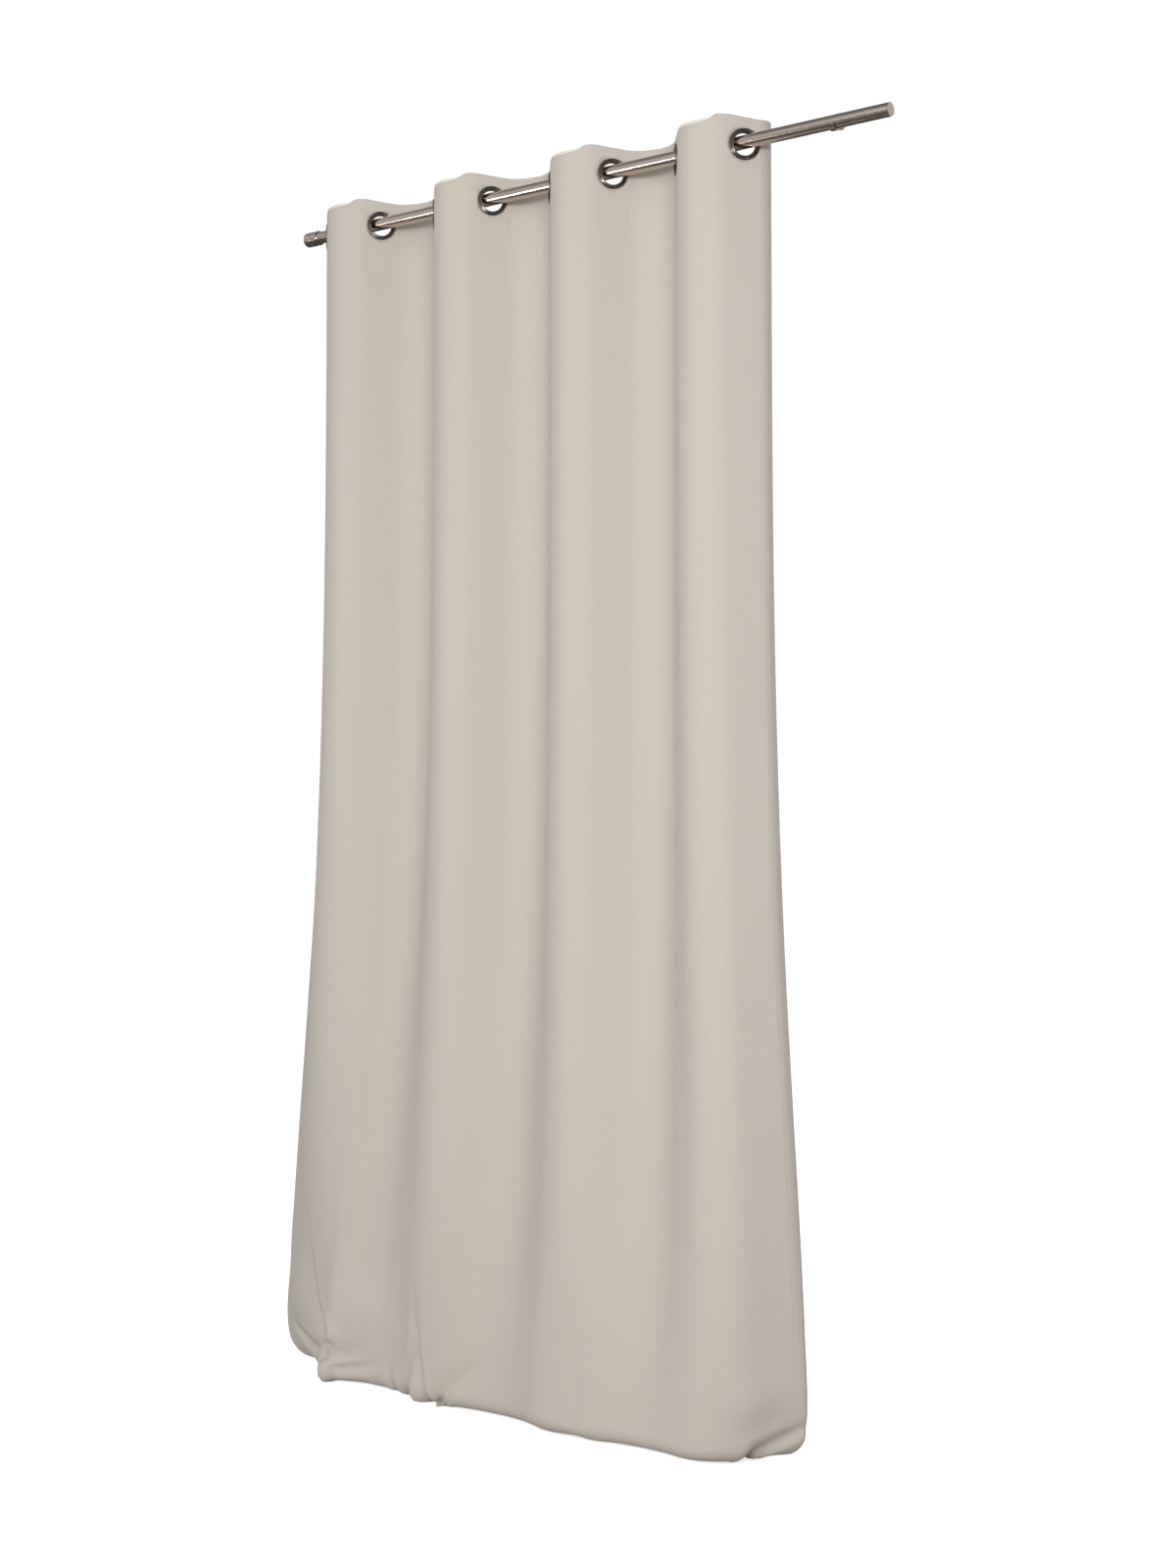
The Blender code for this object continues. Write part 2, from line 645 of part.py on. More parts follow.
def build():
    rod()
    end_cap()
    end_plug()
    for side, x in (("left", 0.0), ("right", BRACKET_SPAN)):
        wall_plate(side, x)
        wall_screws(side, x)
        arm(side, x)
        cradle(side, x)
        clamp_screw(side, x)
    front = eyelet_front()
    back = eyelet_back()
    for number in range(1, EYELETS + 1):
        fold(number)
        header_tape(number)
        add(f"eyelet_front_{number}", front, DARK_NICKEL, matrix=eyelet_place(number))
        add(f"eyelet_back_{number}", back, DARK_NICKEL, matrix=eyelet_place(number))


build()
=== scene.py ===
import json
import math

import bmesh
import bpy
import numpy as np
from mathutils import Matrix, Vector


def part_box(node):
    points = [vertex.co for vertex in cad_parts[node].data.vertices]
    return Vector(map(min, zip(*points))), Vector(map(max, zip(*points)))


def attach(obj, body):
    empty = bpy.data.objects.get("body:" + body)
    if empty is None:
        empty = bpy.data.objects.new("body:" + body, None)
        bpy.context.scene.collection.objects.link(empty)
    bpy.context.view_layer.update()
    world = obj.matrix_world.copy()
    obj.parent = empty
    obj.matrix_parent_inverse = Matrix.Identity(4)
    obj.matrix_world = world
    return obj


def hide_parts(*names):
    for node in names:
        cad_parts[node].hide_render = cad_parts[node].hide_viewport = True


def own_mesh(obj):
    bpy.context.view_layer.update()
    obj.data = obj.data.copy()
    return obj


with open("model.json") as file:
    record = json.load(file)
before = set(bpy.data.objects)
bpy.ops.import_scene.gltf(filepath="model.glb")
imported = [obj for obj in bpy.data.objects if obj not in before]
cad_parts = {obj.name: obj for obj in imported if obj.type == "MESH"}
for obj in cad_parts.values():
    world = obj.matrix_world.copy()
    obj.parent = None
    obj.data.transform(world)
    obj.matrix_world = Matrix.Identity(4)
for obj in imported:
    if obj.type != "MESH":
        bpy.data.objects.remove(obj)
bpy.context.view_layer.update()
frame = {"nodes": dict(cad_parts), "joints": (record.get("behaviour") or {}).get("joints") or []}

# The camera stands in the room, right of the curtain and lower than its middle, and looks almost
# level at it. Its place is measured from the rod's axis at the last eyelet.
joints = {joint["name"]: joint for joint in frame["joints"]}
eyelets = [Vector(joints[f"eyelet_turn_{n}"]["pos_m"]) for n in range(1, 9)]
tube_low, tube_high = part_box("rod_tube")
rod_axis = (tube_low + tube_high) / 2
CAMERA_FROM_LAST_EYELET = (2.224, -3.306, -1.217)
CAMERA_LENS_MM = 50.6
SENSOR_WIDTH_MM = 36
FARTHEST_SEEN = 100
CAMERA_PITCH = math.radians(0.79)
CAMERA_AZIMUTH = math.radians(38)

camera = bpy.data.objects.new("camera", bpy.data.cameras.new("camera"))
bpy.context.scene.collection.objects.link(camera)
camera.location = Vector((eyelets[-1].x, rod_axis.y, rod_axis.z)) + Vector(CAMERA_FROM_LAST_EYELET)
camera.rotation_euler = (math.pi / 2 + CAMERA_PITCH, 0, CAMERA_AZIMUTH)
camera.data.lens = CAMERA_LENS_MM
camera.data.sensor_width = SENSOR_WIDTH_MM
camera.data.clip_end = FARTHEST_SEEN
bpy.context.scene.camera = camera


# The studio: a floor of matt white painted board, a white surround that fills the shadows, and four
# soft lights: a key on the right, a wide one in front, a low card for the metal and one behind.
FLOOR_BELOW_HEM = 0.004
FLOOR_SIZE = 60.0
WHITE_BOARD = "#F7F6F4"
BOARD_GLOW = 0.72  # lifts the lit board to the white of the background
BOARD_BOUNCE = "#B9B7B3"  # painted grey for bounced light only, so the board bounces less light
BOARD_IN_METAL = "#75706B"  # and painted darker still where the metal reflects it: a painted reflection that darkens the metal from below


def linear(hex_colour):
    """A colour written as sRGB hex, as linear red, green, blue and alpha."""
    parts = [int(hex_colour[i : i + 2], 16) / 255 for i in (1, 3, 5)]
    return [c / 12.92 if c <= 0.04045 else ((c + 0.055) / 1.055) ** 2.4 for c in parts] + [1.0]


def new_material(name):
    """An empty node material, and its shader."""
    made = bpy.data.materials.new(name)
    made.use_nodes = True
    return made, made.node_tree.nodes["Principled BSDF"]


def node(tree, kind, settings=(), **links):
    """Adds a node with its settings, and links or values for its inputs, and returns it."""
    made = tree.nodes.new(kind)
    for name, value in dict(settings).items():
        setattr(made, name, value)
    for name, value in links.items():
        key = int(name[1:]) if name[0] == "i" and name[1:].isdigit() else name.replace("_", " ")
        if isinstance(value, bpy.types.NodeSocket):
            tree.links.new(value, made.inputs[key])
        else:
            made.inputs[key].default_value = value
    return made


floor_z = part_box("curtain_fold_1")[0].z - FLOOR_BELOW_HEM
board, shader = new_material("white_painted_board")
shader.inputs["Roughness"].default_value = 0.9
shader.inputs["Specular IOR Level"].default_value = 0.2
tree = board.node_tree
ray = node(tree, "ShaderNodeLightPath")
glow = node(
    tree, "ShaderNodeMath", {"operation": "MULTIPLY"}, i0=ray.outputs["Is Camera Ray"], i1=BOARD_GLOW
)
tree.links.new(glow.outputs[0], shader.inputs["Emission Strength"])
shader.inputs["Emission Color"].default_value = (1, 1, 1, 1)
# the camera sees the board white; its bounced light is painted grey, and its reflection in the metal is
# painted a darker grey
reflected = node(
    tree,
    "ShaderNodeMix",
    {"data_type": "RGBA"},
    i0=ray.outputs["Is Glossy Ray"],
    i6=linear(BOARD_BOUNCE),
    i7=linear(BOARD_IN_METAL),
)
bounce = node(
    tree,
    "ShaderNodeMix",
    {"data_type": "RGBA"},
    i0=ray.outputs["Is Camera Ray"],
    i6=reflected.outputs[2],
    i7=linear(WHITE_BOARD),
)
tree.links.new(bounce.outputs[2], shader.inputs["Base Color"])
floor_mesh = bpy.data.meshes.new("studio_floor")
half = FLOOR_SIZE / 2
corners = [(-half, -half, floor_z), (half, -half, floor_z), (half, half, floor_z), (-half, half, floor_z)]
floor_mesh.from_pydata(corners, [], [(0, 1, 2, 3)])
floor_mesh.materials.append(board)
floor = bpy.data.objects.new("studio_floor", floor_mesh)
bpy.context.scene.collection.objects.link(floor)

# The surround's brightness by height: 0 is level and 1 straight up.
SURROUND = [(-1.0, 0.38), (0.0, 0.56), (0.25, 0.68), (0.55, 0.52), (0.8, 0.24), (1.0, 0.10)]
world = bpy.data.worlds.new("studio_surround")
bpy.context.scene.world = world
world.use_nodes = True
tree = world.node_tree
tree.nodes.clear()
ray = node(tree, "ShaderNodeLightPath")
toward = node(tree, "ShaderNodeTexCoord")
split = node(tree, "ShaderNodeSeparateXYZ", Vector=toward.outputs["Generated"])
height = node(tree, "ShaderNodeMapRange", Value=split.outputs["Z"], From_Min=-1.0, From_Max=1.0)
ramp = node(tree, "ShaderNodeValToRGB", Fac=height.outputs[0])
while len(ramp.color_ramp.elements) < len(SURROUND):
    ramp.color_ramp.elements.new(0.5)
for stop, (up, bright) in zip(ramp.color_ramp.elements, SURROUND):
    stop.position = (up + 1) / 2
    stop.color = (bright, bright, bright, 1)
# a little over full white, so that the background stays white where the floor meets it
seen = node(tree, "ShaderNodeBackground", Color=(1, 1, 1, 1), Strength=1.05)
fill = node(tree, "ShaderNodeBackground", Color=ramp.outputs[0], Strength=1.0)
both = node(
    tree,
    "ShaderNodeMixShader",
    i0=ray.outputs["Is Camera Ray"],
    i1=fill.outputs[0],
    i2=seen.outputs[0],
)
node(tree, "ShaderNodeOutputWorld", Surface=both.outputs[0])

LIGHTS_AIM = 1.25  # the height above the floor that the soft lights point at
middle = Vector((eyelets[3].x, rod_axis.y, floor_z + LIGHTS_AIM))
# (name, azimuth from the room's middle in degrees, height above the middle, distance, width, power)
SOFT_LIGHTS = [
    ("key_softbox", 40, 0.9, 4.4, 0.4, 68),
    ("front_softbox", 2, 0.8, 5.0, 3.0, 88),
    ("rod_card", -38, -0.35, 5.0, 0.9, 40),
    ("back_softbox", 165, 0.6, 5.0, 2.0, 70),
]
for name, azimuth, rise, distance, width, power in SOFT_LIGHTS:
    light = bpy.data.lights.new(name, "AREA")
    light.shape = "SQUARE"
    light.size = width
    light.energy = power
    lamp = bpy.data.objects.new(name, light)
    bpy.context.scene.collection.objects.link(lamp)
    turn = math.radians(azimuth)
    lamp.location = middle + Vector((math.sin(turn) * distance, -math.cos(turn) * distance, rise))
    lamp.rotation_euler = (middle - lamp.location).to_track_quat("-Z", "Y").to_euler()
    # the card stands low on the left, and is there to draw the long highlight on the metal
    lamp.visible_diffuse = name != "rod_card"
bpy.context.scene.view_settings.view_transform = "Standard"


# The rod, its end cap and its plug: stainless steel tube and turned stainless steel, brushed along
# the rod. Brushing gives long soft reflections with fine streaks in them.
BRUSHED_STEEL_COLOUR = "#D0C4BA"
BRUSHED_STEEL_DARK = "#C2B5AB"
STREAK_MM = 4.0  # real brushing is finer, and is drawn this coarse so that it shows
STREAK_LENGTH = 900  # times as long as wide
BRUSHED_ROUGHNESS = (0.17, 0.21)  # from the glossier streaks to the duller ones


def brushed_steel(name, axis):
    """Brushed stainless steel, with streaks along one axis."""
    made, shader = new_material(name)
    tree = made.node_tree
    fine = 1000 / STREAK_MM
    scale = [fine, fine, fine]
    scale[axis] = fine / STREAK_LENGTH
    place = node(tree, "ShaderNodeTexCoord")
    stretched = node(tree, "ShaderNodeMapping", Vector=place.outputs["Object"], Scale=scale)
    streaks = node(
        tree,
        "ShaderNodeTexNoise",
        Vector=stretched.outputs[0],
        Scale=1.0,
        Detail=1.0,
    )
    tone = node(
        tree,
        "ShaderNodeMix",
        {"data_type": "RGBA"},
        Factor=streaks.outputs[0],
        A=linear(BRUSHED_STEEL_DARK),
        B=linear(BRUSHED_STEEL_COLOUR),
    )
    glossy, dull = BRUSHED_ROUGHNESS
    gloss = node(tree, "ShaderNodeMapRange", Value=streaks.outputs[0], To_Min=glossy, To_Max=dull)
    tree.links.new(tone.outputs[2], shader.inputs["Base Color"])
    tree.links.new(gloss.outputs[0], shader.inputs["Roughness"])
    shader.inputs["Metallic"].default_value = 1.0
    return made


def finish_node(name, material):
    """Gives a CAD node its real finish."""
    mesh = frame["nodes"][name].data
    mesh.materials.clear()
    mesh.materials.append(material)


rod_steel = brushed_steel("stainless_steel_brushed_along_the_rod", 0)
for name in ("rod_tube", "end_cap_left", "end_plug_right"):
    finish_node(name, rod_steel)


# The two brackets: plates stamped from stainless steel strip, turned arms, milled cradles, ribbed
# thumb screws in dark nickel plate and zinc-plated countersunk wall screws.
# The plates and cradles are brushed along the rod and the arms along their own length, and each shows
# faint streaks that way and a soft shine.
plate_steel = brushed_steel("stainless_steel_strip_brushed", 0)
arm_steel = brushed_steel("stainless_steel_bar_brushed", 1)


CLOUDING = 0.3  # how far handling moves a plate's roughness, as a share of it


def plated(name, colour, roughness, spots_mm):
    """A smooth plated metal, with faint clouding from handling."""
    made, shader = new_material(name)
    tree = made.node_tree
    place = node(tree, "ShaderNodeTexCoord")
    clouds = node(
        tree,
        "ShaderNodeTexNoise",
        Vector=place.outputs["Object"],
        Scale=1000 / spots_mm,
        Detail=2.0,
    )
    gloss = node(
        tree,
        "ShaderNodeMapRange",
        Value=clouds.outputs[0],
        To_Min=roughness * (1 - CLOUDING),
        To_Max=roughness * (1 + CLOUDING),
    )
    tree.links.new(gloss.outputs[0], shader.inputs["Roughness"])
    shader.inputs["Base Color"].default_value = linear(colour)
    shader.inputs["Metallic"].default_value = 1.0
    return made


# Polished dark nickel mirrors the room in a dim brown grey, and satin zinc is a pale, cloudy grey.
dark_nickel = plated("dark_nickel_plate_polished", "#6A605B", 0.17, 12)
zinc = plated("zinc_plate_satin", "#A9ABA8", 0.35, 4)
for side in ("left", "right"):
    finish_node(f"wall_plate_{side}", plate_steel)
    finish_node(f"bracket_arm_{side}", arm_steel)
    finish_node(f"rod_cradle_{side}", plate_steel)
    finish_node(f"clamp_screw_{side}", dark_nickel)
    for hand in ("l", "r"):
        finish_node(f"wall_screw_{side}_{hand}", zinc)


# The curtain: one panel of matt woven polyester, cut about 1.52 m by 2.80 m. Its header is turned
# over to the back, its side hems are turned and stitched, and it lies tucked under on the floor.
FLAT_HALF = 0.032035  # straight cloth on each side of an eyelet's centre
EYELET_ANGLE = math.radians(50)
LEFT_EDGE = math.radians(-95)
RIGHT_EDGE = math.radians(120)
SIDE_MARGIN = 0.060
CLOTH = 0.0012
LAYER_APART = 0.0013  # the middle of each header layer, from the middle of the header
HEADER_HEIGHT = 0.100
FLOOR_SHIFT = (-0.067, -0.014)
# (eyelet, counted from 0, and the cloth's turn from the rod at the floor, in degrees)
FLOOR_FOLDS = [
    (-0.3, -16),
    (0.3, -26),
    (0.75, -42),
    (1.02, -40),
    (1.16, 22),
    (1.4, 14),
    (1.8, 0),
    (2.3, -17),
    (3.1, 12),
    (4.1, -20),
    (5.0, 16),
    (5.9, -12),
    (6.5, 38),
    (6.75, 56),
    (7.3, 46),
]
TUCK = 0.150  # cloth that lies on the floor behind
TUCK_RADIUS = 0.032
TUCK_RADIUS_AT_SIDES = 0.055
SIDE_WIDTH = 0.16  # the cloth at each side over which the tuck's radius grows
WALL_CLEARANCE = 0.008

pitch = (eyelets[-1].x - eyelets[0].x) / 7
crest_radius = (pitch / 2 - FLAT_HALF * math.cos(EYELET_ANGLE)) / math.sin(EYELET_ANGLE)
half_fold = FLAT_HALF + crest_radius * EYELET_ANGLE
fold_depth = FLAT_HALF * math.sin(EYELET_ANGLE) + crest_radius * (1 - math.cos(EYELET_ANGLE))
panel_width = 14 * half_fold + 2 * SIDE_MARGIN
header_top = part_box("curtain_fold_4")[1].z
header_bottom = header_top - HEADER_HEIGHT
hem_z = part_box("curtain_fold_4")[0].z


def header_turn(place):
    """The cloth's turn from the rod at the header: straight at the eyelets, and even between them."""
    straight = FLAT_HALF / (2 * half_fold)
    edge = SIDE_MARGIN / (2 * half_fold)
    knots = [(-edge, LEFT_EDGE)]
    for number in range(8):
        turn = EYELET_ANGLE if number % 2 else -EYELET_ANGLE
        knots += [(number - straight, turn), (number + straight, turn)]
    knots.append((7 + edge, RIGHT_EDGE))
    return np.interp(place, *zip(*knots))


def floor_turn(place):
    """The cloth's turn from the rod at the floor, where the folds have spread and wandered."""
    knots = [(number, math.radians(turn)) for number, turn in FLOOR_FOLDS]
    return np.interp(place, *zip(*knots))


COLUMNS = 240
FINER = 8  # steps to a column, where the cloth's line is summed
along = np.linspace(0, panel_width, COLUMNS + 1)


def drape(fall):
    """The cloth's line from above at a height: x, y and turn at each column."""
    fine = np.linspace(0, panel_width, COLUMNS * FINER + 1)
    middles = (fine[1:] + fine[:-1]) / 2
    soften = 0.04 * fall + 0.96 * fall**3.4
    turns = []
    for where in (middles, fine):
        place = (where - SIDE_MARGIN) / (2 * half_fold)
        turns.append(header_turn(place) * (1 - soften) + floor_turn(place) * soften)
    step = panel_width / (COLUMNS * FINER)
    x = np.concatenate([[0], np.cumsum(np.cos(turns[0]) * step)])
    y = np.concatenate([[0], np.cumsum(np.sin(turns[0]) * step)])
    centre = panel_width / 2
    centre_x = (eyelets[0].x + eyelets[-1].x) / 2
    x += centre_x + FLOOR_SHIFT[0] * soften - np.interp(centre, fine, x)
    y += rod_axis.y + fold_depth * (1 - soften) + FLOOR_SHIFT[1] * soften - np.interp(centre, fine, y)
    return x[::FINER], y[::FINER], turns[1][::FINER]


LOW_PART = 0.35  # the height above the floor with the finer rows
ROW_STEP = 0.0078
LOW_ROW_STEP = 0.005
LAST_ROW = 0.002
TUCK_BEND = 0.030  # the tuck's length that its bend takes up
TUCK_ROWS = 13
# rows: (height, out from the header's middle, turn of the tuck from 0 to 1, length on the floor)
rows = []
back_layer = np.linspace(header_bottom, header_top - LAYER_APART - CLOTH / 2, 13)
rows += [(z, -LAYER_APART, 0.0, 0.0) for z in back_layer]
for a in (135, 90, 45):
    turn = math.radians(a)
    height = back_layer[-1] + LAYER_APART * math.sin(turn)
    rows.append((height, LAYER_APART * math.cos(turn), 0.0, 0.0))
fall_start = len(rows)
drop = back_layer[-1] - floor_z
heights = np.concatenate(
    [np.arange(drop, LOW_PART, -ROW_STEP), np.arange(LOW_PART, LAST_ROW, -LOW_ROW_STEP)]
)
rows += [(floor_z + h, LAYER_APART, 0.0, 0.0) for h in heights]
tuck_start = len(rows)
for i in range(TUCK_ROWS):
    rows.append((floor_z, LAYER_APART, 1.0, (TUCK - TUCK_BEND) * i / (TUCK_ROWS - 1)))

# the header's top edge isn't quite straight: (eyelet, counted from 0, and its rise there)
TOP_WAVES = [(-0.4, -0.004), (0.2, -0.006), (0.5, -0.008), (0.62, -0.006), (0.72, 0.005)]
TOP_WAVES += [(0.85, 0.005), (1.0, 0.001), (1.2, -0.003), (1.5, -0.002)]
places = (along - SIDE_MARGIN) / (2 * half_fold)
top_rise = np.interp(np.mod(places + 0.5, 2) - 0.5, *zip(*TOP_WAVES))

from_side = np.minimum(along, panel_width - along) / SIDE_WIDTH
tuck_radius = TUCK_RADIUS + (TUCK_RADIUS_AT_SIDES - TUCK_RADIUS) * np.clip(1 - from_side, 0, 1)
points = np.zeros((len(rows), COLUMNS + 1, 3))
for r, (z, out, tucked, on_floor) in enumerate(rows):
    fall = min(1.0, max(0.0, (header_bottom - z) / (header_bottom - hem_z)))
    x, y, turn = drape(fall)
    points[r, :, 0] = x + out * np.sin(turn)
    points[r, :, 1] = y - out * np.cos(turn)
    points[r, :, 2] = z + top_rise * max(0.0, (z - header_bottom) / HEADER_HEIGHT)
    # where the cloth nears the floor it bends round to the back: the arc takes up its length
    above = points[r, :, 2] - floor_z - CLOTH
    arc = np.clip((tuck_radius - above) / tuck_radius, 0, 1) * math.pi / 2
    if tucked:
        arc[:] = math.pi / 2
    back = tuck_radius * (1 - np.cos(arc)) + on_floor
    bent = arc > 0
    points[r, bent, 2] = (floor_z + CLOTH + tuck_radius * (1 - np.sin(arc)))[bent]
    room = np.clip((-WALL_CLEARANCE - y) / TUCK, 0, None)
    toward_wall = np.minimum(np.cos(turn), room)
    inward = np.sign(-np.sin(turn)) * np.sqrt(1 - toward_wall**2)
    points[r, :, 0] += back * inward
    points[r, :, 1] += back * toward_wall


# Below the header the cloth is let hang under its own weight, on a coarser net of the same cloth,
# and the net's moves are spread back over the fine one.
SIM_STEP = 3  # fine columns and rows to one of the net's
SIM_FRAMES = 30
MOST_MOVED = 0.045  # the farthest that a point of the net may go
SMOOTHED = 14  # times the moves are smoothed
LAST_ROW_HELD = 0.5  # the hem lies under the cloth, on the floor
# how firmly the cloth keeps its line, and how much spare cloth it has, by height above the floor
HOLD = [(0.0, 0.02), (0.10, 0.06), (0.35, 0.25), (1.2, 0.5), (2.335, 0.6), (2.345, 1.0)]
SLACK = [(0.0, 1.0), (0.15, 1.0), (0.45, 0.1), (1.0, 0.0)]
# Where the cloth bunches as it meets the floor it creases, and it bulges out between the creases:
# (half width on the sharp side, times as wide on the soft side, [(along, height, depth), ...]),
# measured along the cloth and up from the floor. Negative depths stand out.
CREASES = [
    (0.050, 1, [(0.070, 0.150, -0.010)]),
    (0.060, 1, [(0.330, 0.160, -0.012)]),
    (0.009, 4, [
        (0.250, 0.108, 0.016), (0.195, 0.165, 0.011), (0.150, 0.270, 0.005), (0.130, 0.360, 0.0),
    ]),
    (0.009, 2, [
        (0.030, 0.085, 0.0), (0.110, 0.052, 0.012), (0.175, 0.048, 0.013), (0.240, 0.078, 0.010),
    ]),
    (0.013, 1, [(0.262, 0.024, -0.015)]),
    (0.007, 3, [(0.245, 0.052, 0.014), (0.285, 0.055, 0.010), (0.370, 0.075, 0.0)]),
    (0.007, 2, [(0.285, 0.034, 0.009), (0.330, 0.034, 0.006), (0.410, 0.055, 0.0)]),
    (0.008, 2, [(0.495, 0.260, 0.0), (0.510, 0.130, 0.006), (0.465, 0.000, 0.013)]),
    (0.008, 2, [(0.552, 0.000, 0.013), (0.525, 0.110, 0.006), (0.505, 0.190, 0.0)]),
    (0.008, 1, [(0.425, 0.000, 0.012), (0.430, 0.060, 0.0)]),
    (0.013, 1, [(0.510, 0.010, -0.007)]),
    (0.009, 3, [(0.590, 0.010, 0.011), (0.620, 0.045, 0.010), (0.680, 0.105, 0.0)]),
    (0.024, 2, [(0.950, 0.000, 0.003), (0.940, 0.150, 0.006), (0.925, 0.450, 0.0)]),
    (0.007, 2, [
        (1.330, 0.000, 0.012), (1.345, 0.024, 0.012), (1.392, 0.042, 0.010), (1.430, 0.060, 0.004),
    ]),
    (0.050, 1, [(1.340, 0.120, -0.008)]),
]


def spread_back(coarse, fine):
    """The weights that carry values from the coarse stations to the fine ones, smoothly."""
    weights = np.zeros((len(fine), len(coarse)))
    for i, value in enumerate(fine):
        k = min(max(int(np.searchsorted(coarse, value, side="right")) - 1, 0), len(coarse) - 2)
        t = (value - coarse[k]) / (coarse[k + 1] - coarse[k])
        around = [max(k - 1, 0), k, k + 1, min(k + 2, len(coarse) - 1)]
        cubic = [
            -0.5 * t**3 + t**2 - 0.5 * t,
            1.5 * t**3 - 2.5 * t**2 + 1,
            -1.5 * t**3 + 2 * t**2 + 0.5 * t,
            0.5 * t**3 - 0.5 * t**2,
        ]
        for where, weight in zip(around, cubic):
            weights[i, where] += weight
    return weights


def hang(points, first_row):
    """The cloth's points after it has hung and settled, pinned along its header."""
    net_rows = sorted({*range(first_row, len(points), SIM_STEP), len(points) - 1})
    net_columns = list(range(0, COLUMNS + 1, SIM_STEP))
    net = points[np.ix_(net_rows, net_columns)]
    mesh, number = grid_mesh("hanging_net", net)
    cloth = bpy.data.objects.new("hanging_net", mesh)
    bpy.context.scene.collection.objects.link(cloth)
    pinned = cloth.vertex_groups.new(name="pinned")
    grow = cloth.vertex_groups.new(name="slack")
    for r, row in enumerate(net_rows):
        held = np.interp(rows[row][0] - floor_z, *zip(*HOLD))
        if row == len(points) - 1:
            held = LAST_ROW_HELD
        pinned.add([int(n) for n in number[r]], float(held), "REPLACE")
        slack = np.interp(rows[row][0] - floor_z, *zip(*SLACK))
        grow.add([int(n) for n in number[r]], float(slack), "REPLACE")
    modifier = cloth.modifiers.new("cloth", "CLOTH")
    settings = modifier.settings
    settings.quality = 6
    settings.mass = 0.05
    settings.tension_stiffness = 60
    settings.compression_stiffness = 60
    settings.shear_stiffness = 20
    settings.bending_stiffness = 2.0
    settings.tension_damping = 20
    settings.compression_damping = 20
    settings.shear_damping = 10
    settings.bending_damping = 2
    settings.air_damping = 3.0
    settings.vertex_group_mass = "pinned"
    settings.pin_stiffness = 1.0
    settings.vertex_group_shrink = "slack"
    settings.shrink_min = 0.0
    settings.shrink_max = -0.05
    modifier.collision_settings.use_collision = True
    modifier.collision_settings.distance_min = 0.003
    modifier.collision_settings.use_self_collision = False
    modifier.point_cache.frame_end = SIM_FRAMES
    stops = []
    for name, corners in (
        ("net_floor", [(-2, -2, floor_z), (3, -2, floor_z), (3, 1, floor_z), (-2, 1, floor_z)]),
        ("net_wall", [(-2, 0, floor_z), (3, 0, floor_z), (3, 0, 0.2), (-2, 0, 0.2)]),
    ):
        stop_mesh = bpy.data.meshes.new(name)
        stop_mesh.from_pydata(corners, [], [(0, 1, 2, 3)])
        stop = bpy.data.objects.new(name, stop_mesh)
        bpy.context.scene.collection.objects.link(stop)
        stop.modifiers.new("collision", "COLLISION")
        stop.collision.thickness_outer = 0.002
        stop.collision.cloth_friction = 40
        stops.append(stop)
    for step in range(1, SIM_FRAMES + 1):
        bpy.context.scene.frame_set(step)
    shape = cloth.evaluated_get(bpy.context.evaluated_depsgraph_get()).to_mesh()
    settled = np.zeros(len(shape.vertices) * 3)
    shape.vertices.foreach_get("co", settled)
    moved = settled.reshape(net.shape) - net
    size = np.linalg.norm(moved, axis=2, keepdims=True)
    moved *= np.minimum(1.0, MOST_MOVED / np.maximum(size, 1e-9))
    # heavy cloth doesn't crumple: only its broad sag is kept
    for _ in range(SMOOTHED):
        wide = np.pad(moved, ((1, 1), (1, 1), (0, 0)), mode="edge")
        moved = (wide[:-2, 1:-1] + wide[2:, 1:-1] + wide[1:-1, :-2] + wide[1:-1, 2:]) / 8 + moved / 2
    bpy.context.scene.frame_set(1)
    for helper in (cloth, *stops):
        bpy.data.objects.remove(helper, do_unlink=True)
    down = spread_back(np.array(net_rows, float), np.arange(first_row, len(points), dtype=float))
    across = spread_back(np.array(net_columns, float), np.arange(COLUMNS + 1, dtype=float))
    result = points.copy()
    result[first_row:] += np.einsum("rn,nmk,cm->rck", down, moved, across)
    result[:, :, 2] = np.maximum(result[:, :, 2], floor_z + CLOTH)
    return result


def grid_mesh(name, points):
    """A mesh of quads over a grid of points, and each point's number in it, by row and column."""
    rows_n, columns_n = points.shape[:2]
    number = np.arange(rows_n * columns_n).reshape(rows_n, columns_n)
    faces = np.stack(
        [number[:-1, :-1], number[1:, :-1], number[1:, 1:], number[:-1, 1:]], axis=-1
    ).reshape(-1, 4)
    mesh = bpy.data.meshes.new(name)
    mesh.from_pydata(points.reshape(-1, 3).tolist(), [], faces.tolist())
    return mesh, number


points = hang(points, fall_start)
down_cloth = np.array([z - floor_z for z, _, _, _ in rows])
down_cloth[tuck_start:] = [-length for _, _, _, length in rows[tuck_start:]]
CREASED_BELOW = 0.6
low = fall_start + int(np.argmax(down_cloth[fall_start:] < CREASED_BELOW))
outward = np.cross(np.gradient(points, axis=0), np.gradient(points, axis=1))
outward /= np.linalg.norm(outward, axis=2, keepdims=True)
here = np.stack(np.meshgrid(along, down_cloth[low:]), axis=-1)
